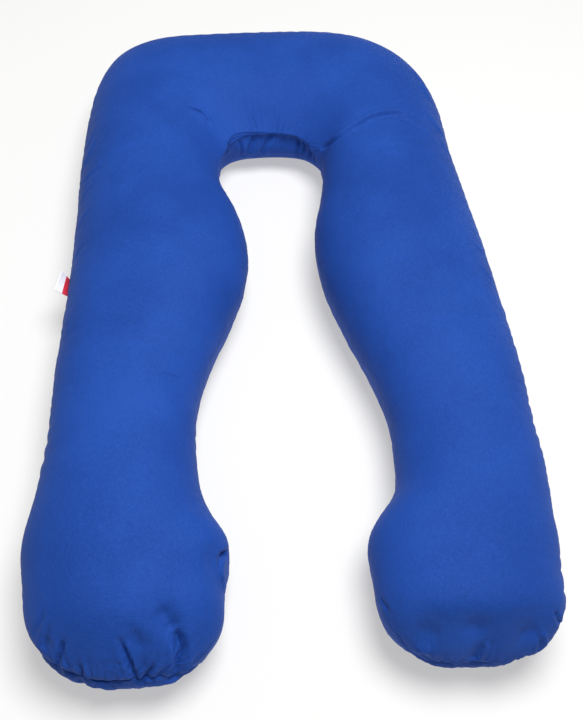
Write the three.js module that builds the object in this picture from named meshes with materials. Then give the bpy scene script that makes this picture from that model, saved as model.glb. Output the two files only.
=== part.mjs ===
// U-shaped full-length pregnancy pillow, lying on its back panel as it is laid out for use.
// Millimetres, +Z up. +Y runs from the two foot ends to the head bar, X runs across the pillow,
// and the origin is on the floor, under the middle of the whole thing.
import * as THREE from "three";
import { mergeVertices } from "three/addons/utils/BufferGeometryUtils.js";

// The filled pillow, cut into sections that run from the outer seam to the inner seam.
// They start at the left foot, climb the left leg, turn through the head bar and come down the right leg.
// outerX, outerY and innerX, innerY are the two seam points in plan, top is the crown's height over the
// floor, and seam is the height of the inner seam, which the tight curve of the neck pulls up.
const SECTIONS = [
  { outerX: -385, outerY: -600, innerX: -94, innerY: -600, top: 176, seam: 88 },
  { outerX: -396, outerY: -555, innerX: -85, innerY: -555, top: 182, seam: 88 },
  { outerX: -399, outerY: -520, innerX: -94, innerY: -518, top: 183, seam: 88 },
  { outerX: -395, outerY: -488, innerX: -117, innerY: -484, top: 181, seam: 88 },
  { outerX: -391, outerY: -440, innerX: -137, innerY: -436, top: 177, seam: 86 },
  { outerX: -388, outerY: -365, innerX: -147, innerY: -356, top: 172, seam: 86 },
  { outerX: -390, outerY: -290, innerX: -146, innerY: -280, top: 174, seam: 86 },
  { outerX: -394, outerY: -215, innerX: -128, innerY: -205, top: 180, seam: 88 },
  { outerX: -394, outerY: -140, innerX: -100, innerY: -130, top: 188, seam: 90 },
  { outerX: -394, outerY: -65, innerX: -72, innerY: -55, top: 195, seam: 92 },
  { outerX: -396, outerY: 10, innerX: -59, innerY: 20, top: 200, seam: 94 },
  { outerX: -399, outerY: 85, innerX: -65, innerY: 90, top: 202, seam: 95 },
  { outerX: -402, outerY: 160, innerX: -84, innerY: 158, top: 202, seam: 96 },
  { outerX: -407, outerY: 235, innerX: -112, innerY: 222, top: 200, seam: 98 },
  { outerX: -410, outerY: 320, innerX: -121, innerY: 280, top: 198, seam: 101 },
  { outerX: -411, outerY: 430, innerX: -115, innerY: 319, top: 196, seam: 104 },
  { outerX: -403, outerY: 555, innerX: -101, innerY: 349, top: 195, seam: 107 },
  { outerX: -368, outerY: 655, innerX: -80, innerY: 368, top: 195, seam: 109 },
  { outerX: -286, outerY: 709, innerX: -56, innerY: 378, top: 195, seam: 110 },
  { outerX: -163, outerY: 721, innerX: -32, innerY: 382, top: 195, seam: 110 },
  { outerX: -25, outerY: 725, innerX: -6, innerY: 383, top: 195, seam: 110 },
  { outerX: 109, outerY: 724, innerX: 22, innerY: 380, top: 195, seam: 110 },
  { outerX: 213, outerY: 701, innerX: 48, innerY: 373, top: 195, seam: 109 },
  { outerX: 289, outerY: 646, innerX: 70, innerY: 357, top: 195, seam: 107 },
  { outerX: 337, outerY: 569, innerX: 87, innerY: 334, top: 196, seam: 105 },
  { outerX: 361, outerY: 484, innerX: 97, innerY: 303, top: 197, seam: 102 },
  { outerX: 370, outerY: 395, innerX: 98, innerY: 265, top: 198, seam: 99 },
  { outerX: 372, outerY: 305, innerX: 94, innerY: 220, top: 200, seam: 97 },
  { outerX: 380, outerY: 215, innerX: 85, innerY: 165, top: 202, seam: 96 },
  { outerX: 388, outerY: 125, innerX: 72, innerY: 100, top: 202, seam: 95 },
  { outerX: 396, outerY: 45, innerX: 71, innerY: 35, top: 200, seam: 93 },
  { outerX: 401, outerY: -35, innerX: 81, innerY: -30, top: 196, seam: 92 },
  { outerX: 406, outerY: -110, innerX: 101, innerY: -100, top: 190, seam: 90 },
  { outerX: 411, outerY: -185, innerX: 130, innerY: -175, top: 182, seam: 88 },
  { outerX: 413, outerY: -260, innerX: 158, innerY: -250, top: 176, seam: 86 },
  { outerX: 411, outerY: -335, innerX: 175, innerY: -328, top: 172, seam: 86 },
  { outerX: 413, outerY: -405, innerX: 176, innerY: -400, top: 174, seam: 86 },
  { outerX: 410, outerY: -462, innerX: 169, innerY: -458, top: 179, seam: 88 },
  { outerX: 406, outerY: -510, innerX: 138, innerY: -500, top: 183, seam: 88 },
  { outerX: 405, outerY: -550, innerX: 119, innerY: -538, top: 183, seam: 88 },
  { outerX: 397, outerY: -600, innerX: 122, innerY: -600, top: 178, seam: 88 },
];
const OUTER_SEAM_Z = 90;

// Where the tight curve of the neck pulls the inner seam up, from one height to the other, the cloth
// above it is drawn from a round crown towards a straight slope. bend is how far it goes that way.
const NECK_SLOPE = { fromSeam: 98, toSeam: 110, bend: 1.2 };

// Past its first or last section each foot is closed by a round end. reach is how far it runs on,
// squareness below 1 makes it blunter than an ellipse, and lean carries its tip across to +X. fall
// above 1 lets its crown slope down sooner than its outline closes.
const LEFT_FOOT = { reach: 125, squareness: 0.87, lean: 11, fall: 1.7 };
const RIGHT_FOOT = { reach: 112, squareness: 0.77, lean: 2, fall: 1.6 };

// The main folds and dents of the cover, as valleys between two points in plan.
const FOLDS = [
  { name: "right shoulder, at the neck", fromX: 104, fromY: 320, toX: 172, toY: 316, depth: 7, width: 17 },
  { name: "right shoulder, outer half", fromX: 172, fromY: 316, toX: 284, toY: 330, depth: 6, width: 17 },
  { name: "left shoulder", fromX: -178, fromY: 386, toX: -132, toY: 366, depth: 4, width: 17 },
  { name: "left shoulder, far out", fromX: -316, fromY: 226, toX: -262, toY: 243, depth: 3, width: 20 },
  { name: "left thigh, first", fromX: -372, fromY: -178, toX: -236, toY: -168, depth: 3, width: 18 },
  { name: "left thigh, second", fromX: -240, fromY: -208, toX: -166, toY: -228, depth: 3, width: 18 },
  { name: "left thigh, third", fromX: -204, fromY: -266, toX: -162, toY: -268, depth: 3, width: 17 },
  { name: "right thigh, first", fromX: 182, fromY: -122, toX: 346, toY: -112, depth: 3, width: 18 },
  { name: "right thigh, second", fromX: 238, fromY: -182, toX: 380, toY: -172, depth: 3, width: 18 },
  { name: "left foot, pocket", fromX: -84, fromY: -552, toX: -102, toY: -568, depth: 8, width: 15 },
  { name: "left foot, below the pocket", fromX: -102, fromY: -568, toX: -94, toY: -610, depth: 5, width: 16 },
  { name: "left foot, soft fold", fromX: -176, fromY: -648, toX: -150, toY: -682, depth: 6, width: 17 },
  { name: "left foot, outer gather", fromX: -306, fromY: -678, toX: -320, toY: -702, depth: 5, width: 15 },
  { name: "left foot, middle gather", fromX: -226, fromY: -676, toX: -212, toY: -722, depth: 5, width: 15 },
  { name: "left foot, inner gather", fromX: -155, fromY: -680, toX: -152, toY: -706, depth: 4, width: 15 },
  { name: "right foot, inner dent", fromX: 180, fromY: -684, toX: 190, toY: -674, depth: 7, width: 22 },
  { name: "right foot, middle dent", fromX: 240, fromY: -676, toX: 254, toY: -674, depth: 6, width: 20 },
  { name: "right foot, outer dent", fromX: 322, fromY: -684, toX: 334, toY: -672, depth: 6, width: 18 },
  { name: "right foot, gather", fromX: 263, fromY: -696, toX: 250, toY: -718, depth: 5, width: 15 },
];

const STEPS_BETWEEN_SECTIONS = 3;
const STEPS_IN_FOOT = 9;
const CROWN_STEPS = 22;
const UNDERSIDE_STEPS = 14;

// The crown is a little fuller than an ellipse. The underside is pressed nearly square by the
// pillow's own weight: its curve would reach below the floor by PRESS, and the floor cuts it flat.
const CROWN_SIDE_POWER = 0.92;
const UNDERSIDE_SIDE_POWER = 0.74;
const PRESS = 1.3;

// Two flat tabs stand out of the outer seam. Each starts at x, y, z just clear of the cover, runs
// along the seam and stands proud of it. It rises by so many degrees, twist is how much more its +Y
// end rises than its -Y end, and drift is how far the seam moves in X for each millimetre of Y.
const TABS = [
  {
    name: "seam_label",
    side: -1,
    x: -395.1,
    y: -27,
    z: 96,
    along: 40,
    proud: 29,
    rise: 56,
    twist: 24,
    drift: -0.03,
  },
  {
    name: "care_tag",
    side: 1,
    x: 367.7,
    y: 430,
    z: 94,
    along: 24,
    proud: 14,
    rise: -8,
    twist: 0,
    drift: -0.083,
  },
];
const TAB_THICKNESS = 1.2;
const TAB_CURL = 2;

const BLUE = 0x2d56b0;
const TAB_WHITE = 0xe9e6ec;

const outerSeam = new THREE.CatmullRomCurve3(
  SECTIONS.map((s) => new THREE.Vector3(s.outerX, s.outerY, s.top)),
  false,
  "catmullrom",
);
const innerSeam = new THREE.CatmullRomCurve3(
  SECTIONS.map((s) => new THREE.Vector3(s.innerX, s.innerY, s.seam)),
  false,
  "catmullrom",
);

// One section at share t of the way from the left foot to the right foot. half points from its middle
// to the outer seam, and core is the point its folds are pulled towards.
function sectionAt(t) {
  const outer = outerSeam.getPoint(t);
  const inner = innerSeam.getPoint(t);
  const middle = new THREE.Vector2((outer.x + inner.x) / 2, (outer.y + inner.y) / 2);
  const half = new THREE.Vector2((outer.x - inner.x) / 2, (outer.y - inner.y) / 2);
  const core = new THREE.Vector3(middle.x, middle.y, (inner.z + OUTER_SEAM_Z) / 2);
  return { middle, half, core, swell: 1, crownSwell: 1, top: outer.z, innerSeamZ: inner.z };
}

// The section at t carried out into the foot's round end, at step 0 to STEPS_IN_FOOT.
function footSectionAt(t, foot, step) {
  const angle = ((Math.PI / 2) * step) / STEPS_IN_FOOT;
  const swell = power(Math.cos(angle), foot.squareness);
  const section = sectionAt(t);
  section.middle.x += foot.lean * Math.sin(angle);
  section.middle.y -= foot.reach * power(Math.sin(angle), foot.squareness);
  section.half.multiplyScalar(swell);
  section.swell = swell;
  section.crownSwell = power(Math.cos(angle), foot.fall);
  return section;
}

function power(value, exponent) {
  return Math.sign(value) * Math.abs(value) ** exponent;
}

function foldDepthAt(x, y) {
  let depth = 0;
  for (const fold of FOLDS) {
    const [alongX, alongY] = [fold.toX - fold.fromX, fold.toY - fold.fromY];
    const share = ((x - fold.fromX) * alongX + (y - fold.fromY) * alongY) / (alongX ** 2 + alongY ** 2);
    const near = THREE.MathUtils.clamp(share, 0, 1);
    const gap = Math.hypot(x - fold.fromX - near * alongX, y - fold.fromY - near * alongY);
    depth += fold.depth * Math.exp(-((gap / fold.width) ** 2));
  }
  return depth;
}

// The points round one section, from the outer seam over the crown to the inner seam and back under.
function ringOf(section) {
  const drawn = THREE.MathUtils.smoothstep(section.innerSeamZ, NECK_SLOPE.fromSeam, NECK_SLOPE.toSeam);
  const points = [];
  for (let i = 0; i < CROWN_STEPS + UNDERSIDE_STEPS; i++) {
    const overCrown = i <= CROWN_STEPS;
    const angle = overCrown
      ? (Math.PI * i) / CROWN_STEPS
      : Math.PI * (1 + (i - CROWN_STEPS) / UNDERSIDE_STEPS);
    const across = power(Math.cos(angle), overCrown ? CROWN_SIDE_POWER : UNDERSIDE_SIDE_POWER);
    const seamZ = THREE.MathUtils.lerp(section.innerSeamZ, OUTER_SEAM_Z, (across + 1) / 2);
    const bend = overCrown ? NECK_SLOPE.bend * drawn * Math.max(0, -across) : 0;
    const rise = (overCrown ? section.top - seamZ : seamZ * PRESS) * power(Math.sin(angle), 1 + bend);
    const point = new THREE.Vector3(
      section.middle.x + section.half.x * across,
      section.middle.y + section.half.y * across,
      Math.max(0, seamZ + rise * (overCrown ? section.crownSwell : section.swell)),
    );
    if (overCrown) {
      const inwards = section.core.clone().sub(point).normalize();
      point.addScaledVector(inwards, foldDepthAt(point.x, point.y));
    }
    points.push(point);
  }
  return points;
}

// All rings in order, from the left foot's tip round to the right foot's tip.
function pillowRings() {
  const rings = [];
  for (let step = STEPS_IN_FOOT - 1; step > 0; step--) rings.push(ringOf(footSectionAt(0, LEFT_FOOT, step)));
  const steps = (SECTIONS.length - 1) * STEPS_BETWEEN_SECTIONS;
  for (let i = 0; i <= steps; i++) rings.push(ringOf(sectionAt(i / steps)));
  for (let step = 1; step < STEPS_IN_FOOT; step++) rings.push(ringOf(footSectionAt(1, RIGHT_FOOT, step)));
  return rings;
}

function footTip(t, foot) {
  const section = footSectionAt(t, foot, STEPS_IN_FOOT);
  return new THREE.Vector3(section.middle.x, section.middle.y, section.core.z);
}

// A closed skin over the rings, with a fan of triangles at each tip.
function closedSkin(rings, firstTip, lastTip) {
  const count = rings[0].length;
  const points = [...rings.flat(), firstTip, lastTip];
  const faces = [];
  for (let r = 0; r + 1 < rings.length; r++) {
    for (let i = 0; i < count; i++) {
      const j = (i + 1) % count;
      const [a, b] = [r * count + i, r * count + j];
      faces.push(a, b, b + count, a, b + count, a + count);
    }
  }
  const lastRing = (rings.length - 1) * count;
  for (let i = 0; i < count; i++) {
    const j = (i + 1) % count;
    faces.push(points.length - 2, j, i);
    faces.push(points.length - 1, lastRing + i, lastRing + j);
  }
  const skin = new THREE.BufferGeometry().setFromPoints(points);
  skin.setIndex(faces);
  return skin;
}

// A thin sheet standing on its long edge, curled a little towards its free edge.
function tabSheet(tab) {
  const sheet = new THREE.BoxGeometry(tab.proud, tab.along, TAB_THICKNESS, 6, 6, 1);
  sheet.deleteAttribute("normal");
  sheet.deleteAttribute("uv");
  const skin = mergeVertices(sheet, 1e-4);
  const place = skin.getAttribute("position");
  for (let i = 0; i < place.count; i++) {
    const out = tab.side > 0 ? place.getX(i) + tab.proud / 2 : tab.proud / 2 - place.getX(i);
    const lift = place.getZ(i) + TAB_CURL * (out / tab.proud) ** 2;
    const rise = THREE.MathUtils.degToRad(tab.rise + (tab.twist * place.getY(i)) / tab.along);
    place.setXYZ(
      i,
      tab.x + tab.drift * place.getY(i) + tab.side * (out * Math.cos(rise) - lift * Math.sin(rise)),
      tab.y + place.getY(i),
      tab.z + out * Math.sin(rise) + lift * Math.cos(rise),
    );
  }
  return skin;
}

function piece(name, skin, color) {
  const cloth = new THREE.MeshStandardMaterial({ color, roughness: 0.85, metalness: 0 });
  const mesh = new THREE.Mesh(skin, cloth);
  mesh.name = name;
  return mesh;
}

const part = new THREE.Group();
const pillowSkin = closedSkin(pillowRings(), footTip(0, LEFT_FOOT), footTip(1, RIGHT_FOOT));
part.add(piece("pillow", pillowSkin, BLUE));
for (const tab of TABS) part.add(piece(tab.name, tabSheet(tab), TAB_WHITE));
export default part;
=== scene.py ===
"""A U-shaped pregnancy pillow lying on its back panel: one filled cover, a seam label and a care tag."""
import math
from collections import namedtuple

import bpy
import numpy as np
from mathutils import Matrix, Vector, kdtree, noise


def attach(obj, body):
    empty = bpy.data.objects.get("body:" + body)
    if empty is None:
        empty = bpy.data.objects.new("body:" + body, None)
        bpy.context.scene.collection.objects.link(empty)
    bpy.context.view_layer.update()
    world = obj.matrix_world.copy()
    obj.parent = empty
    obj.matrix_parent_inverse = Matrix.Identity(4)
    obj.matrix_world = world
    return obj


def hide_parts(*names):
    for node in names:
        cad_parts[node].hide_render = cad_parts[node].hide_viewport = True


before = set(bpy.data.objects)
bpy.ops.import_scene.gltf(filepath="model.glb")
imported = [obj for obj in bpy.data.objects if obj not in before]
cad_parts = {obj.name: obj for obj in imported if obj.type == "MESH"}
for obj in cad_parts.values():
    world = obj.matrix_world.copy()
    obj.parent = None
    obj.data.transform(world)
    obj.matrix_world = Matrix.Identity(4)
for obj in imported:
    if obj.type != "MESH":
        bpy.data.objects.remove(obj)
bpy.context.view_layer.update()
scene = bpy.context.scene

# The view: a camera above the feet, looking down at the pillow along its legs. A 37 mm lens on a 36 mm high
# sensor gives the drawn-out perspective of a close camera.
CAMERA_PLACE = (-0.0095, -0.9283, 1.1719)
CAMERA_TILT = 34
CAMERA_TURN = -2
SENSOR_HEIGHT = 36
FOCAL_LENGTH = 37
lens = bpy.data.cameras.new("camera")
lens.sensor_fit = "VERTICAL"
lens.sensor_height = SENSOR_HEIGHT
lens.lens = FOCAL_LENGTH
lens.clip_end = 50
camera = bpy.data.objects.new("camera", lens)
camera.location = CAMERA_PLACE
camera.rotation_euler = (math.radians(CAMERA_TILT), 0, math.radians(CAMERA_TURN))
scene.collection.objects.link(camera)
scene.camera = camera

# The studio: a pale seamless floor, a bright room and one key lamp in a large globe diffuser. The lamp hangs
# over the right leg at half its length, so the head is lit from the front and the feet from behind.
ROOM_LIGHT = 0.25
KEY_PLACE = (0.4, -0.1, 2.2)
KEY_POWER = 60
KEY_RADIUS = 0.6
FLOOR_SIZE = 14
FLOOR_GLOW = 0.46
scene.view_settings.view_transform = "Standard"
room = bpy.data.worlds.new("room")
scene.world = room
room.use_nodes = True
room.node_tree.nodes["Background"].inputs["Color"].default_value = (1, 1, 1, 1)
room.node_tree.nodes["Background"].inputs["Strength"].default_value = ROOM_LIGHT
key_light = bpy.data.lights.new("key_light", "POINT")
key_light.energy = KEY_POWER
key_light.shadow_soft_size = KEY_RADIUS
key_light.use_nodes = True
key_lamp = bpy.data.objects.new("key_lamp", key_light)
key_lamp.location = KEY_PLACE
scene.collection.objects.link(key_lamp)


def linear(hex_colour):
    """The linear colour of an sRGB hex value such as "2E56B2"."""
    channels = [int(hex_colour[at:at + 2], 16) / 255 for at in (0, 2, 4)]
    return tuple(c / 12.92 if c < 0.04045 else ((c + 0.055) / 1.055) ** 2.4 for c in channels) + (1,)


def new_material(name, roughness, **sockets):
    """A material with its main shader's own sockets set, its node tree and the shader."""
    material = bpy.data.materials.new(name)
    material.use_nodes = True
    shader = material.node_tree.nodes["Principled BSDF"]
    shader.inputs["Roughness"].default_value = roughness
    for socket, value in sockets.items():
        shader.inputs[socket.replace("_", " ")].default_value = value
    return material, material.node_tree, shader


def add_node(tree, kind, settings=None, values=None, links=None):
    """Adds a node with its settings, its input values and the sockets that feed its inputs."""
    node = tree.nodes.new(kind)
    for key, value in (settings or {}).items():
        setattr(node, key, value)
    for key, value in (values or {}).items():
        node.inputs[key].default_value = value
    for key, socket in (links or {}).items():
        tree.links.new(socket, node.inputs[key])
    return node


# The lamp is as strong at the feet as at the head, as a far wider diffuser would be. The floor glows faintly,
# which keeps its shadows pale, and it throws more light on the pillow than the camera sees from it.
lamp_tree = key_light.node_tree
even = add_node(lamp_tree, "ShaderNodeLightFalloff", values={"Strength": 1})
lamp_tree.links.new(even.outputs["Constant"], lamp_tree.nodes["Emission"].inputs["Strength"])

bpy.ops.object.select_all(action="DESELECT")
bpy.ops.mesh.primitive_plane_add(size=FLOOR_SIZE, location=(0, 0, 0))
floor = bpy.context.object
floor.name = "floor"
floor_paint, floor_tree, floor_shader = new_material("matt white studio board", 0.9, Specular_IOR_Level=0.1)
# A colour mix takes its two colours at these inputs and gives the result at this output.
FIRST_COLOUR = 6
SECOND_COLOUR = 7
MIXED_COLOUR = 2
seen = add_node(floor_tree, "ShaderNodeLightPath").outputs["Is Camera Ray"]
board = add_node(floor_tree, "ShaderNodeMix", {"data_type": "RGBA"}, links={"Factor": seen})
board.inputs[FIRST_COLOUR].default_value = linear("DCDBD6")
board.inputs[SECOND_COLOUR].default_value = linear("9C9C9C")
floor_tree.links.new(board.outputs[MIXED_COLOUR], floor_shader.inputs["Base Color"])
floor_shader.inputs["Emission Color"].default_value = linear("FFFEFC")
floor_shader.inputs["Emission Strength"].default_value = FLOOR_GLOW
floor.data.materials.append(floor_paint)

# The pillow: a cover of two U-shaped panels of royal blue cotton percale, sewn together round the edge and
# filled with loose fibre. The filling swells the cover against its seam, and the cloth gathers at the neck,
# the inner corners and the round feet.
MERGE_GAP = 0.00002
FINE_STEPS = 2
FLAT_UNDER = -0.5


def alone(piece):
    """Selects one piece, and nothing else, for the operators that follow."""
    bpy.ops.object.select_all(action="DESELECT")
    piece.select_set(True)
    bpy.context.view_layer.objects.active = piece


def corners(mesh):
    """The mesh's corner points as rows of x, y, z."""
    flat = np.empty(len(mesh.vertices) * 3)
    mesh.vertices.foreach_get("co", flat)
    return flat.reshape(-1, 3)


def ramp(value, low, high):
    """0 below low, 1 above high, and a soft step between them."""
    share = np.clip((value - low) / (high - low), 0, 1)
    return share * share * (3 - 2 * share)


def near_neck(places, half_width, power):
    """1 at the inner corner of the neck, and 0 well beyond half_width to either side."""
    across = (places[:, 0] + 0.01) / half_width
    back = (places[:, 1] - 0.36) / 0.07
    return np.exp(-across ** power - back ** 2)


def near_toe(places):
    """0 along the legs, rising to 1 at the very ends of the feet."""
    return 1 - ramp(places[:, 1], -0.72, -0.60)


def on_inner_side(places, facing, neck):
    """1 where the cover faces the gap between the legs, and 0 at the neck, on top and outside."""
    return ramp(-facing[:, 0] * np.sign(places[:, 0]), 0.2, 0.7) * (1 - neck)


cover = bpy.data.objects.new("filled_cover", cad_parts["pillow"].data.copy())
scene.collection.objects.link(cover)
alone(cover)
bpy.ops.object.mode_set(mode="EDIT")
bpy.ops.mesh.select_all(action="SELECT")
bpy.ops.mesh.remove_doubles(threshold=MERGE_GAP)
bpy.ops.mesh.tris_convert_to_quads(face_threshold=math.pi, shape_threshold=math.pi)
bpy.ops.object.mode_set(mode="OBJECT")
finer = cover.modifiers.new("finer", "SUBSURF")
finer.levels = FINE_STEPS
finer.render_levels = FINE_STEPS
bpy.ops.object.modifier_apply(modifier="finer")

mesh = cover.data
count = len(mesh.vertices)
rest = corners(mesh)
facing = np.empty(count * 3)
mesh.vertex_normals.foreach_get("vector", facing)
facing = facing.reshape(-1, 3)
under = facing[:, 2] < FLAT_UNDER

# Where the edge seam runs, in metres above the floor: low along the inner sides, higher across the neck,
# where it falls towards the right, a little up at the left foot's end and down at the right foot's.
SEAM_HEIGHT = 0.088
INNER_DROP = 0.042
NECK_RISE = 0.024
NECK_FALL = 0.085
LEFT_TIP_RISE = 0.008
RIGHT_TIP_RISE = -0.020
NECK_WIDTH = 0.12
NECK_LINE_WIDTH = 0.14
LEAST_SLOPE = 0.04
FAR_BELOW = -0.2
neck = near_neck(rest, NECK_WIDTH, 4)
toe = near_toe(rest)
tip = toe * ramp(-facing[:, 1], 0.2, 0.8)
inner_side = on_inner_side(rest, facing, neck)
tip_rise = np.where(rest[:, 0] > 0, RIGHT_TIP_RISE, LEFT_TIP_RISE)
neck_line = near_neck(rest, NECK_LINE_WIDTH, 6)
neck_rise = NECK_RISE - NECK_FALL * rest[:, 0]
seam_height = SEAM_HEIGHT + neck_rise * neck_line + tip_rise * tip - INNER_DROP * inner_side
slope = np.sqrt(np.clip(1 - facing[:, 2] ** 2, LEAST_SLOPE, 1))
seam_gap = (rest[:, 2] - seam_height) / slope
seam_gap[under] = FAR_BELOW

# The filling: the cover is blown up softly against short seam threads, each point held back by a soft spring.
# Only the small wrinkles that this makes are kept, most of them near the seam and at the feet.
SIM_FRAMES = 16
SEAM_PULL_REACH = 0.010
INNER_EASE = 0.8
LEAST_PULL = 0.02
HOLD = 0.25
BROAD_TURNS = 150
DETAIL_CAP = 0.012
WRINKLE_REACH = 0.05
WRINKLE_GAIN = 0.3
SEAM_GAIN = 0.6
TOE_GAIN = 0.5
seam_pull = np.exp(-(seam_gap / SEAM_PULL_REACH) ** 2) * (1 - INNER_EASE * inner_side)
held = np.where(under, 1.0, HOLD)
seam_group = cover.vertex_groups.new(name="seam")
held_group = cover.vertex_groups.new(name="held")
for point in range(count):
    held_group.add([point], float(held[point]), "REPLACE")
    if seam_pull[point] > LEAST_PULL:
        seam_group.add([point], float(seam_pull[point]), "REPLACE")
cloth = cover.modifiers.new("filling", "CLOTH")
cloth.collision_settings.use_collision = False
cloth.point_cache.frame_start = 1
cloth.point_cache.frame_end = SIM_FRAMES
threads = cloth.settings
threads.quality = 4
threads.mass = 0.15
threads.tension_stiffness = 15
threads.compression_stiffness = 15
threads.shear_stiffness = 5
threads.bending_stiffness = 0.02
threads.use_pressure = True
threads.uniform_pressure_force = 1.5
threads.effector_weights.gravity = 0
threads.shrink_min = -0.02
threads.shrink_max = 0.12
threads.vertex_group_shrink = "seam"
threads.vertex_group_mass = "held"
threads.pin_stiffness = 1
for step in range(1, SIM_FRAMES + 1):
    scene.frame_set(step)
blown = corners(cover.evaluated_get(bpy.context.evaluated_depsgraph_get()).data)
cover.modifiers.clear()
scene.frame_set(1)
cover.vertex_groups.clear()

ends = np.empty(len(mesh.edges) * 2, dtype=np.int32)
mesh.edges.foreach_get("vertices", ends)
ends = ends.reshape(-1, 2)
neighbours = np.bincount(ends.ravel(), minlength=count)
moved = blown - rest
broad = moved.copy()
for turn in range(BROAD_TURNS):
    total = np.empty_like(broad)
    for axis in range(3):
        total[:, axis] = np.bincount(ends[:, 0], broad[ends[:, 1], axis], minlength=count)
        total[:, axis] += np.bincount(ends[:, 1], broad[ends[:, 0], axis], minlength=count)
    broad = 0.5 * broad + 0.5 * total / neighbours[:, None]
wrinkles = moved - broad
length = np.linalg.norm(wrinkles, axis=1)
wrinkles *= (np.minimum(length, DETAIL_CAP) / np.maximum(length, 1e-9))[:, None]
near_seam = np.exp(-(seam_gap / WRINKLE_REACH) ** 2)
gain = WRINKLE_GAIN + SEAM_GAIN * near_seam + TOE_GAIN * toe
mesh.vertices.foreach_set("co", (rest + wrinkles * gain[:, None]).ravel())

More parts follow.
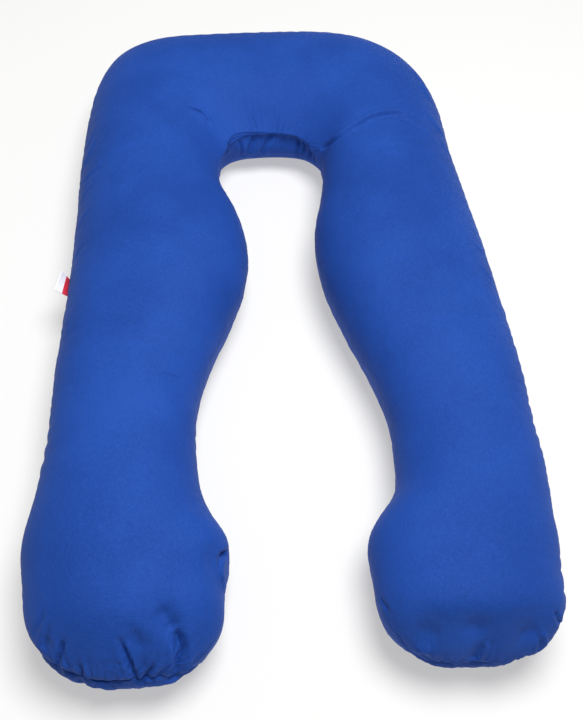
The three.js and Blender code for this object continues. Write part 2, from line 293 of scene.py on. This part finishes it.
# The creases that show, each along a path over the surface: places and sizes in millimetres, depth below the
# surface at the path, width to either side, and edge, which is 2 for a soft trough and near 1 for a sharp
# fold. A negative depth is a ridge.
Crease = namedtuple("Crease", "place path depth width edge")
CREASES = [
    Crease("right shoulder filled out", [(104, 320, 125), (172, 316, 188), (284, 330, 190)], -4, 16, 2),
    Crease("neck to right shoulder", [(95, 325, 119), (122, 308, 157), (150, 312, 178),
                                      (195, 327, 195), (237, 334, 199), (285, 333, 192)], 10, 4.5, 1.2),
    Crease("under the right shoulder", [(200, 320, 196), (245, 320, 196),
                                        (285, 302, 192), (310, 274, 184)], 4, 4.5, 1.5),
    Crease("right shoulder arc", [(190, 233, 196), (245, 229, 201), (293, 225, 193)], 1.9, 8, 2),
    Crease("right shoulder short arc", [(232, 254, 200), (278, 252, 196), (323, 250, 178)], 1.9, 7, 2),
    Crease("right edge top", [(309, 515, 167), (322, 490, 163), (335, 445, 158)], 2.9, 4, 1.5),
    Crease("right edge second", [(310, 464, 175), (326, 443, 167), (339, 416, 158)], 2.9, 4, 1.5),
    Crease("right edge third", [(327, 345, 172), (341, 327, 161), (351, 311, 150)], 3.2, 4, 1.5),
    Crease("right edge fourth", [(319, 356, 176), (335, 324, 166), (349, 302, 153)], 2.4, 3, 1.5),
    Crease("right edge fifth", [(339, 279, 164), (350, 269, 154), (361, 256, 141)], 3.2, 4, 1.5),
    Crease("left shoulder filled out", [(-178, 386, 180), (-132, 366, 160)], -3, 15, 2),
    Crease("left shoulder", [(-180, 393, 184), (-154, 384, 172), (-130, 366, 156)], 6.5, 3.5, 1.3),
    Crease("left shoulder second", [(-160, 392, 176), (-146, 384, 168), (-132, 374, 158)], 4.5, 2.8, 1.3),
    Crease("left far arc", [(-323, 232, 189), (-295, 243, 195), (-260, 248, 197)], 2.2, 5, 1.6),
    Crease("left edge top", [(-393, 249, 139), (-379, 272, 158), (-361, 302, 173)], 2.9, 5, 1.5),
    Crease("left edge second", [(-392, 299, 143), (-383, 316, 155), (-373, 338, 164)], 2.4, 4, 1.5),
    Crease("left edge third", [(-386, 201, 145), (-366, 205, 167), (-337, 211, 184)], 2.9, 5, 1.5),
    Crease("left edge fourth", [(-383, 145, 143), (-370, 163, 160), (-347, 168, 177)], 2.2, 5, 1.6),
    Crease("left edge fifth", [(-381, 74, 142), (-368, 95, 157), (-349, 104, 173)], 2.2, 5, 1.6),
    Crease("left edge sixth", [(-380, 1, 138), (-367, 16, 154), (-349, 19, 169)], 2.2, 5, 1.6),
    Crease("left leg arc", [(-375, -171, 136), (-334, -170, 167), (-235, -169, 182)], 1.9, 8, 2),
    Crease("left knee upper", [(-241, -209, 177), (-202, -218, 168), (-168, -227, 147)], 2.9, 5, 1.6),
    Crease("left knee lower", [(-204, -266, 162), (-185, -266, 153), (-168, -267, 138)], 2.9, 4, 1.5),
    Crease("right leg upper", [(181, -121, 174), (256, -119, 187), (348, -108, 168)], 1.9, 8, 2),
    Crease("right leg lower", [(237, -180, 177), (300, -175, 178), (382, -169, 145)], 1.9, 8, 2),
    Crease("right leg edge", [(358, -6, 164), (371, -9, 153), (382, -12, 140)], 2.4, 4, 1.5),
    Crease("right leg edge lower", [(360, -59, 163), (371, -69, 155), (382, -79, 144)], 2.4, 4, 1.5),
    Crease("neck wall first", [(-97, 357, 108), (-100, 351, 98), (-100, 356, 66)], 4.5, 3.5, 1.4),
    Crease("neck wall second", [(-76, 371, 104), (-75, 373, 88), (-79, 381, 56)], 4, 3.5, 1.4),
    Crease("neck wall third", [(48, 373, 104), (50, 375, 82), (49, 390, 40)], 4.5, 3.5, 1.4),
    Crease("neck wall fourth", [(59, 367, 104), (63, 366, 87), (62, 382, 45)], 4, 3.5, 1.4),
    Crease("neck wall fifth", [(71, 357, 104), (76, 353, 92), (76, 359, 62)], 4, 3.5, 1.4),
    Crease("neck wall left slant", [(-43, 381, 102), (-51, 382, 85), (-68, 384, 58)], 6, 5, 1.4),
    Crease("neck wall right slant", [(-4, 383, 102), (-20, 386, 81), (-41, 394, 48)], 6, 5, 1.4),
    Crease("neck wall foot", [(-88, 376, 57), (-12, 397, 46), (62, 378, 54)], 3, 5, 1.5),
    Crease("left foot pocket", [(-84, -545, 92), (-94, -549, 100), (-102, -559, 114)], 8, 5, 1.3),
    Crease("left foot side", [(-103, -561, 114), (-100, -583, 107), (-98, -601, 74)], 4.5, 4, 1.3),
    Crease("left foot far gather", [(-308, -672, 136), (-312, -682, 128),
                                    (-316, -690, 119), (-322, -698, 104)], 6.5, 4, 1.3),
    Crease("left foot far hollow", [(-328, -668, 133), (-336, -683, 116)], 4, 9, 2),
    Crease("left foot second gather", [(-287, -701, 121), (-287, -707, 112), (-287, -714, 101)], 5, 3.5, 1.4),
    Crease("left foot third gather", [(-231, -678, 146), (-225, -692, 133),
                                      (-218, -707, 112), (-213, -722, 90)], 7, 4, 1.3),
    Crease("left foot fourth gather", [(-190, -706, 116), (-198, -714, 104), (-207, -721, 90)], 6, 4, 1.3),
    Crease("left foot deep fold top", [(-178, -640, 158), (-169, -654, 152), (-158, -667, 139)], 8, 13, 2),
    Crease("left foot deep fold", [(-158, -666, 140), (-154, -676, 129), (-152, -690, 116),
                                   (-157, -702, 105), (-161, -714, 82)], 9, 7, 1.3),
    Crease("left foot deep fold lip", [(-166, -680, 130), (-166, -696, 116), (-164, -709, 99)], -3.5, 5, 2),
    Crease("left foot soft dent", [(-217, -669, 153), (-208, -679, 145), (-198, -690, 136)], 6, 11, 2),
    Crease("left foot edge first", [(-336, -640, 148), (-346, -654, 134), (-354, -662, 118)], 2.5, 4, 1.5),
    Crease("left foot edge second", [(-326, -656, 146), (-336, -670, 132), (-343, -680, 116)], 2.5, 4, 1.5),
    Crease("right foot crease", [(268, -694, 121), (264, -701, 107),
                                 (260, -708, 92), (256, -712, 78)], -3.5, 3, 1.3),
    Crease("right foot hollow by the crease", [(260, -693, 119), (256, -701, 105),
                                               (251, -710, 91)], 2, 8, 1.8),
    Crease("right foot left dent", [(169, -672, 126), (186, -678, 125), (204, -682, 130)], 4.5, 16, 2),
    Crease("right foot middle dent", [(240, -670, 149), (250, -678, 140), (260, -683, 132)], 4.5, 13, 2),
    Crease("right foot right dent", [(310, -684, 132), (325, -684, 126), (339, -678, 128)], 4.5, 14, 2),
    Crease("right foot filled out", [(175, -650, 150), (245, -655, 164), (320, -655, 156)], -4, 22, 2),
    Crease("right foot ridge", [(347, -682, 121), (350, -688, 112), (354, -692, 95)], -2.5, 3.5, 1.3),
    Crease("right foot short crease", [(345, -689, 113), (344, -695, 103), (342, -700, 92)], 2.5, 3.5, 1.4),
    Crease("right foot pleat", [(363, -658, 134), (368, -664, 126), (376, -669, 109)], 3.5, 3.5, 1.3),
    Crease("right foot inner fan", [(127, -626, 108), (131, -635, 114), (137, -647, 117)], 3, 4, 1.4),
    Crease("right foot low bulge", [(171, -691, 93), (182, -695, 98), (193, -697, 105)], -4, 8, 2),
]
POINT_SPACING = 0.0015
LINE_TURNS = 20


def on_cloth(points):
    """The nearest place on the cover to each point."""
    return np.array([cover.closest_point_on_mesh(Vector(point))[1] for point in points])


def along(path):
    """Points close together on the surface, along a smooth curve through the path's points, in metres."""
    knots = [Vector(point) / 1000 for point in path]
    knots = [knots[0] * 2 - knots[1]] + knots + [knots[-1] * 2 - knots[-2]]
    points = []
    for start in range(1, len(knots) - 2):
        before, here, there, after = knots[start - 1:start + 3]
        steps = max(2, round((there - here).length / POINT_SPACING))
        for step in range(steps):
            t = step / steps
            pull = (there - before) * (0.5 * t) + (before * 2 - here * 5 + there * 4 - after) * (0.5 * t * t)
            points.append(here + pull + (here * 3 - before - there * 3 + after) * (0.5 * t * t * t))
    points.append(knots[-2])
    line = on_cloth(points)
    for turn in range(LINE_TURNS):
        line[1:-1] = (line[:-2] + line[1:-1] * 2 + line[2:]) / 4
    return on_cloth(line)


mesh.update()
bpy.context.view_layer.update()
lines = [along(crease.path) for crease in CREASES]

# The mesh is made finer in the neck, at the feet and beside the creases, and finer again beside the sharpest.
# The underside is pressed flat where it rests, and its level faces are merged.
for name, kind, values in (("seam_gap", "FLOAT", seam_gap), ("facing", "FLOAT_VECTOR", facing.ravel())):
    kept = mesh.attributes.new(name, kind, "POINT")
    kept.data.foreach_set("value" if kind == "FLOAT" else "vector", values)
RESTING = 0.0015
LEVEL_WITHIN = 1
Zone = namedtuple("Zone", "low high")
FEET = Zone((-0.42, -0.74, 0.07), (0.42, -0.695, 0.125))
NECK = Zone((-0.125, 0.33, 0.045), (0.1, 0.41, 0.124))
Pass = namedtuple("Pass", "edge reach margin zones")
PASSES = [Pass(1.5, 1.5, 0.0020, [FEET, NECK]), Pass(1.3, 1.1, 0.0010, [])]


def inside(point, zone):
    """Whether a point is in the zone."""
    return all(low < value < high for low, value, high in zip(zone.low, point, zone.high))


for finer_pass in PASSES:
    folds = [(crease, line) for crease, line in zip(CREASES, lines) if crease.edge <= finer_pass.edge]
    fold_points = kdtree.KDTree(sum(len(line) for crease, line in folds))
    reaches = []
    for crease, line in folds:
        for point in line:
            fold_points.insert(point, len(reaches))
            reaches.append(crease.width / 1000 * finer_pass.reach + finer_pass.margin)
    fold_points.balance()
    alone(cover)
    bpy.ops.object.mode_set(mode="EDIT")
    bpy.ops.mesh.select_mode(type="FACE")
    bpy.ops.mesh.select_all(action="DESELECT")
    bpy.ops.object.mode_set(mode="OBJECT")
    mesh = cover.data
    for face in mesh.polygons:
        middle = face.center
        place, index, gap = fold_points.find(middle)
        in_zone = any(inside(middle, zone) for zone in finer_pass.zones)
        face.select = in_zone or gap < reaches[index]
    bpy.ops.object.mode_set(mode="EDIT")
    bpy.ops.mesh.subdivide(number_cuts=1, smoothness=0)
    bpy.ops.object.mode_set(mode="OBJECT")
mesh = cover.data
bpy.ops.object.mode_set(mode="EDIT")
bpy.ops.mesh.select_all(action="DESELECT")
bpy.ops.object.mode_set(mode="OBJECT")
for point in mesh.vertices:
    if point.co.z < RESTING:
        point.co.z = 0
for face in mesh.polygons:
    face.select = all(mesh.vertices[corner].co.z == 0 for corner in face.vertices)
bpy.ops.object.mode_set(mode="EDIT")
bpy.ops.mesh.dissolve_limited(angle_limit=math.radians(LEVEL_WITHIN), use_dissolve_boundaries=False)
bpy.ops.object.mode_set(mode="OBJECT")
mesh = cover.data
count = len(mesh.vertices)
rest = corners(mesh)
seam_gap = np.empty(count)
mesh.attributes["seam_gap"].data.foreach_get("value", seam_gap)
facing = np.empty(count * 3)
mesh.attributes["facing"].data.foreach_get("vector", facing)
facing = facing.reshape(-1, 3)
facing /= np.maximum(np.linalg.norm(facing, axis=1), 1e-6)[:, None]
mesh.attributes.remove(mesh.attributes["facing"])
under = facing[:, 2] < FLAT_UNDER
neck = near_neck(rest, NECK_WIDTH, 4)
neck_line = near_neck(rest, NECK_LINE_WIDTH, 6)
toe = near_toe(rest)
inner_side = on_inner_side(rest, facing, neck)

# A sharp fold is a valley between two low lips, and each crease dies away at both ends. The lips and the
# reach count in widths of the crease, and the fade in shares of its length.
LIP = 0.35
LIP_PLACE = 2
LIP_WIDTH = 0.9
CREASE_REACH = 4
FADE_FROM = -0.1
FADE_TO = 0.25
push = np.zeros(count)
for crease, line in zip(CREASES, lines):
    width = crease.width / 1000
    low = line.min(0) - CREASE_REACH * width
    high = line.max(0) + CREASE_REACH * width
    near = np.nonzero(np.all(rest > low, axis=1) & np.all(rest < high, axis=1))[0]
    apart = np.linalg.norm(rest[near][:, None, :] - line[None, :, :], axis=2)
    share = apart.argmin(axis=1) / (len(line) - 1)
    fade = ramp(share, FADE_FROM, FADE_TO) * ramp(1 - share, FADE_FROM, FADE_TO)
    off = apart.min(axis=1) / width
    lip = LIP * np.exp(-((off - LIP_PLACE) / LIP_WIDTH) ** 2) if crease.edge < 2 else 0
    push[near] -= crease.depth / 1000 * fade * (np.exp(-off ** crease.edge) - lip)

# The seam draws in a narrow groove, deeper at the feet.
GROOVE_WIDTH = 0.004
GROOVE_DEPTH = 0.002
TOE_GROOVE = 0.001
groove = np.exp(-(seam_gap / GROOVE_WIDTH) ** 2)
push -= (GROOVE_DEPTH + TOE_GROOVE * toe) * (1 - INNER_EASE * inner_side) * groove

# At the neck the cloth turns down sharply just under the seam. Lower down the back panel bulges out into the
# gap, but it is tucked in at the left corner.
NECK_STEP = 0.006
WALL_BULGE = 0.011
WALL_MIDDLE = 0.060
WALL_SPREAD = 0.026
CORNER_TUCK = 1.6
step_down = ramp(-seam_gap, 0, 0.008) * (1 - ramp(-seam_gap, 0.012, 0.04))
push -= NECK_STEP * neck_line * step_down
wall = (facing[:, 2] < 0.6) * np.exp(-((rest[:, 2] - WALL_MIDDLE) / WALL_SPREAD) ** 2)
corner = np.exp(-((rest[:, 0] + 0.1) / 0.03) ** 2 - ((rest[:, 1] - 0.355) / 0.035) ** 2)
push += WALL_BULGE * wall * (neck - CORNER_TUCK * corner)

# The cloth gathers across the seam in uneven puckers: narrow ones that end close to the seam and wider ones
# that run further up the cloth. They are deeper at the neck and the feet.
Pucker = namedtuple("Pucker", "pitch reach size")
PUCKERS = [Pucker(0.009, 0.012, 0.8), Pucker(0.017, 0.028, 1.0), Pucker(0.034, 0.060, 1.2)]
PUCKER_DEPTH = 0.0008
NECK_PUCKER = 0.0016
TOE_PUCKER = 0.0022
PUCKER_END = 0.12
SEAM_BAND = 0.004
puckered = PUCKER_DEPTH + NECK_PUCKER * neck + TOE_PUCKER * toe
on_seam = np.nonzero(np.abs(seam_gap) < SEAM_BAND)[0]
seam_points = kdtree.KDTree(len(on_seam))
for point in on_seam:
    seam_points.insert(rest[point], int(point))
seam_points.balance()
for point in np.nonzero((np.abs(seam_gap) < PUCKER_END) & ~under)[0]:
    place = seam_points.find(rest[point])[0]
    for pucker in PUCKERS:
        fall = math.exp(-(seam_gap[point] / pucker.reach) ** 2)
        push[point] += puckered[point] * pucker.size * fall * noise.noise(place / pucker.pitch)

# The crown slumps at the very ends of the feet.
FOOT_DROP = 0.07
shape = rest + facing * push[:, None]
shape[:, 2] *= 1 - FOOT_DROP * ramp(-shape[:, 1], 0.64, 0.75)
shape[:, 2] = np.maximum(shape[:, 2], 0)
mesh.vertices.foreach_set("co", shape.ravel())
mesh.update()
alone(cover)
bpy.ops.object.shade_smooth()

# Cotton percale, dyed royal blue: a close plain weave with a matt face and a faint bloom of light at the
# edges. Its threads are 0.3 mm apart, which is too fine to show, so they are drawn 1.6 mm apart. The dye is
# uneven in soft patches and in fine streaks along the yarns, both ways. The four patterns below the pitch are
# in repeats a metre.
THREAD_PITCH = 0.0016
PATCHES = 5
SLUBS = 260
YARN_LENGTHS = 140
YARNS = 600
percale, weave, percale_shader = new_material(
    "royal blue cotton percale", 0.72,
    Specular_IOR_Level=0.1, Sheen_Weight=0.015, Sheen_Roughness=0.45, IOR=1.47)
percale_shader.inputs["Sheen Tint"].default_value = linear("9FB8F0")
where = add_node(weave, "ShaderNodeTexCoord").outputs["Object"]
cloudy = add_node(weave, "ShaderNodeTexNoise", values={"Scale": PATCHES, "Detail": 3, "Roughness": 0.6},
                  links={"Vector": where})
slubs = add_node(weave, "ShaderNodeTexNoise", values={"Scale": SLUBS, "Detail": 2, "Roughness": 0.7},
                 links={"Vector": where})
shade_of = add_node(weave, "ShaderNodeMapRange", values={"From Min": 0.3, "From Max": 0.7},
                    links={"Value": cloudy.outputs["Fac"]})
yarns = []
for stretch in ((YARN_LENGTHS, YARNS, YARNS), (YARNS, YARN_LENGTHS, YARNS)):
    laid = add_node(weave, "ShaderNodeMapping", values={"Scale": stretch}, links={"Vector": where})
    yarns.append(add_node(weave, "ShaderNodeTexNoise", values={"Scale": 1, "Detail": 2, "Roughness": 0.6},
                          links={"Vector": laid.outputs["Vector"]}))
crossed = add_node(weave, "ShaderNodeMath", {"operation": "ADD"},
                   links={0: yarns[0].outputs["Fac"], 1: yarns[1].outputs["Fac"]})
yarn_shade = add_node(weave, "ShaderNodeMapRange",
                      values={"From Min": 0.7, "From Max": 1.3, "To Min": -0.5, "To Max": 0.5},
                      links={"Value": crossed.outputs[0]})
dye_share = add_node(weave, "ShaderNodeMath", {"operation": "ADD", "use_clamp": True},
                     links={0: shade_of.outputs["Result"], 1: yarn_shade.outputs["Result"]})
dye = add_node(weave, "ShaderNodeMix", {"data_type": "RGBA"}, links={"Factor": dye_share.outputs[0]})
dye.inputs[FIRST_COLOUR].default_value = linear("173B85")
dye.inputs[SECOND_COLOUR].default_value = linear("1E4596")


def wave_scale(pitch):
    """The scale at which a wave texture's bands are pitch metres apart."""
    return 2 * math.pi / pitch / 20


bands = []
for direction in ("X", "Y", "Z"):
    bands.append(add_node(weave, "ShaderNodeTexWave", {"wave_type": "BANDS", "bands_direction": direction},
                          {"Scale": wave_scale(THREAD_PITCH), "Distortion": 0.6, "Detail": 1},
                          {"Vector": where}))
two = add_node(weave, "ShaderNodeMath", {"operation": "ADD"},
               links={0: bands[0].outputs["Fac"], 1: bands[1].outputs["Fac"]})
cross_weave = add_node(weave, "ShaderNodeMath", {"operation": "ADD"},
                       links={0: two.outputs[0], 1: bands[2].outputs["Fac"]})
uneven = add_node(weave, "ShaderNodeMath", {"operation": "MULTIPLY_ADD"}, {1: 1.6},
                  {0: slubs.outputs["Fac"], 2: cross_weave.outputs[0]})
thread_bump = add_node(weave, "ShaderNodeBump", values={"Strength": 0.35, "Distance": 0.00025},
                       links={"Height": uneven.outputs[0]})
# Along the seam line the blue is darkened towards 16306E. This is painted shade of the seam's groove, laid
# over the groove that the shape and the bump make.
gap = add_node(weave, "ShaderNodeAttribute", {"attribute_name": "seam_gap"})
size_of_gap = add_node(weave, "ShaderNodeMath", {"operation": "ABSOLUTE"}, links={0: gap.outputs["Fac"]})
on_line = add_node(weave, "ShaderNodeMapRange", {"interpolation_type": "SMOOTHSTEP"},
                   {"From Min": 0.0006, "From Max": 0.0026, "To Min": 1, "To Max": 0},
                   {"Value": size_of_gap.outputs[0]})
painted_shade_share = add_node(weave, "ShaderNodeMath", {"operation": "MULTIPLY"}, {1: 0.55},
                      {0: on_line.outputs["Result"]})
seam_groove_painted_shade = add_node(weave, "ShaderNodeMix", {"data_type": "RGBA"}, links={"Factor": painted_shade_share.outputs[0]})
weave.links.new(dye.outputs[MIXED_COLOUR], seam_groove_painted_shade.inputs[FIRST_COLOUR])
seam_groove_painted_shade.inputs[SECOND_COLOUR].default_value = linear("16306E")
seam_bump = add_node(weave, "ShaderNodeBump", {"invert": True}, {"Strength": 0.8, "Distance": 0.001},
                     {"Height": on_line.outputs["Result"], "Normal": thread_bump.outputs["Normal"]})
weave.links.new(seam_groove_painted_shade.outputs[MIXED_COLOUR], percale_shader.inputs["Base Color"])
weave.links.new(seam_bump.outputs["Normal"], percale_shader.inputs["Normal"])
cover.data.materials.clear()
cover.data.materials.append(percale)
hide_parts("pillow")
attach(cover, "root")

# The seam label: a woven ribbon folded in two and caught in the outer seam of the left leg, white with a
# plain red band beside the seam. It stands up from the seam and leans out.
#
# A ribbon's sizes are in millimetres: side is which way it points across the pillow, x, y and z where its
# middle leaves the seam, along its width, proud how far it stands out, rise and twist its angles in degrees,
# and drift how the seam slants beside it.
Ribbon = namedtuple("Ribbon", "side x y z along proud rise twist drift")
LABEL = Ribbon(-1, -395.1, -27, 96, 40, 29, 56, 24, -0.03)
LAYERS_APART = 0.8
LOWER_LAYER = 0.2
RIBBON_CURL = 2
CAUGHT = 4
RIBBON_THICKNESS = 0.0003


def folded_ribbon(name, ribbon):
    """A ribbon folded in two: a grid laid from the seam, over the fold and back, then moved into place."""
    turn = math.pi * LAYERS_APART / 2
    run = 2 * (ribbon.proud + CAUGHT) + turn
    bpy.ops.object.select_all(action="DESELECT")
    bpy.ops.mesh.primitive_grid_add(x_subdivisions=64, y_subdivisions=20, size=1)
    piece = bpy.context.object
    piece.name = name
    for point in piece.data.vertices:
        gone = (point.co.x + 0.5) * run
        across = point.co.y * ribbon.along
        reach = ribbon.proud - LAYERS_APART / 2
        layer_end = reach + CAUGHT
        if gone < layer_end:
            out = gone - CAUGHT
            height = LOWER_LAYER
        elif gone > run - layer_end:
            out = run - gone - CAUGHT
            height = LOWER_LAYER + LAYERS_APART
        else:
            bend = (gone - layer_end) / (run - 2 * layer_end) * math.pi
            out = reach + math.sin(bend) * LAYERS_APART / 2
            height = LOWER_LAYER + (1 - math.cos(bend)) * LAYERS_APART / 2
        lift = height + RIBBON_CURL * (max(out, 0) / ribbon.proud) ** 2
        angle = math.radians(ribbon.rise + ribbon.twist * across / ribbon.along)
        point.co.x = ribbon.x + ribbon.drift * across
        point.co.x += ribbon.side * (out * math.cos(angle) - lift * math.sin(angle))
        point.co.y = ribbon.y + across
        point.co.z = ribbon.z + out * math.sin(angle) + lift * math.cos(angle)
        point.co /= 1000
    alone(piece)
    thick = piece.modifiers.new("thick", "SOLIDIFY")
    thick.thickness = RIBBON_THICKNESS
    thick.offset = 0
    bpy.ops.object.modifier_apply(modifier="thick")
    bpy.ops.object.mode_set(mode="EDIT")
    bpy.ops.mesh.select_all(action="SELECT")
    bpy.ops.mesh.normals_make_consistent(inside=False)
    bpy.ops.object.mode_set(mode="OBJECT")
    bpy.ops.object.shade_smooth_by_angle(angle=math.radians(50))
    return piece


def ribbon_weave(tree, shader, run, width, pitch):
    """Bump of fine cross threads on a ribbon's own map, which runs 0 to 1 along and across it."""
    own_map = add_node(tree, "ShaderNodeUVMap", {"uv_map": "UVMap"}).outputs["UV"]
    sized = add_node(tree, "ShaderNodeMapping", values={"Scale": (run, width, 1)}, links={"Vector": own_map})
    heights = []
    for direction in ("X", "Y"):
        heights.append(add_node(tree, "ShaderNodeTexWave", {"bands_direction": direction},
                                {"Scale": wave_scale(pitch)}, {"Vector": sized.outputs["Vector"]}))
    both = add_node(tree, "ShaderNodeMath", {"operation": "ADD"},
                    links={0: heights[0].outputs["Fac"], 1: heights[1].outputs["Fac"]})
    bump = add_node(tree, "ShaderNodeBump", values={"Strength": 0.5, "Distance": 0.0002},
                    links={"Height": both.outputs[0]})
    tree.links.new(bump.outputs["Normal"], shader.inputs["Normal"])
    return own_map


label = folded_ribbon("woven_label", LABEL)
# Polyester damask ribbon: a smooth, slightly shiny face. Its threads are 0.15 mm apart and drawn 0.8 mm
# apart. The red band starts at BAND_FROM, a share of the ribbon's length counted from its fold.
RIBBON_PITCH = 0.0008
BAND_FROM = 0.235
damask, damask_tree, damask_shader = new_material(
    "white polyester damask with a red band", 0.45, Specular_IOR_Level=0.45, Sheen_Weight=0.1)
label_map = ribbon_weave(damask_tree, damask_shader, 0.068, 0.040, RIBBON_PITCH)
map_parts = add_node(damask_tree, "ShaderNodeSeparateXYZ", links={"Vector": label_map})
past_fold = add_node(damask_tree, "ShaderNodeMath", {"operation": "SUBTRACT"}, {1: 0.5},
                     {0: map_parts.outputs["X"]})
from_fold = add_node(damask_tree, "ShaderNodeMath", {"operation": "ABSOLUTE"},
                     links={0: past_fold.outputs[0]})
in_band = add_node(damask_tree, "ShaderNodeMath", {"operation": "GREATER_THAN"}, {1: BAND_FROM},
                   {0: from_fold.outputs[0]})
band = add_node(damask_tree, "ShaderNodeMix", {"data_type": "RGBA"}, links={"Factor": in_band.outputs[0]})
band.inputs[FIRST_COLOUR].default_value = linear("E6E4EA")
band.inputs[SECOND_COLOUR].default_value = linear("C3203A")
damask_tree.links.new(band.outputs[MIXED_COLOUR], damask_shader.inputs["Base Color"])
label.data.materials.append(damask)
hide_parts("seam_label")
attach(label, "root")

# The care tag: a narrower white ribbon, folded in two and caught in the outer seam at the right shoulder,
# where the pillow's edge hides it from above the feet.
CARE = Ribbon(1, 367.7, 430, 94, 24, 14, -8, 0, -0.083)
tag = folded_ribbon("care_ribbon", CARE)
# Polyester satin: a smooth white ribbon, with threads drawn 0.8 mm apart in place of 0.15 mm.
satin, satin_tree, satin_shader = new_material(
    "white polyester satin", 0.4, Specular_IOR_Level=0.5, Sheen_Weight=0.1)
ribbon_weave(satin_tree, satin_shader, 0.037, 0.024, RIBBON_PITCH)
satin_shader.inputs["Base Color"].default_value = linear("F2F2F2")
tag.data.materials.append(satin)
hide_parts("care_tag")
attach(tag, "root")
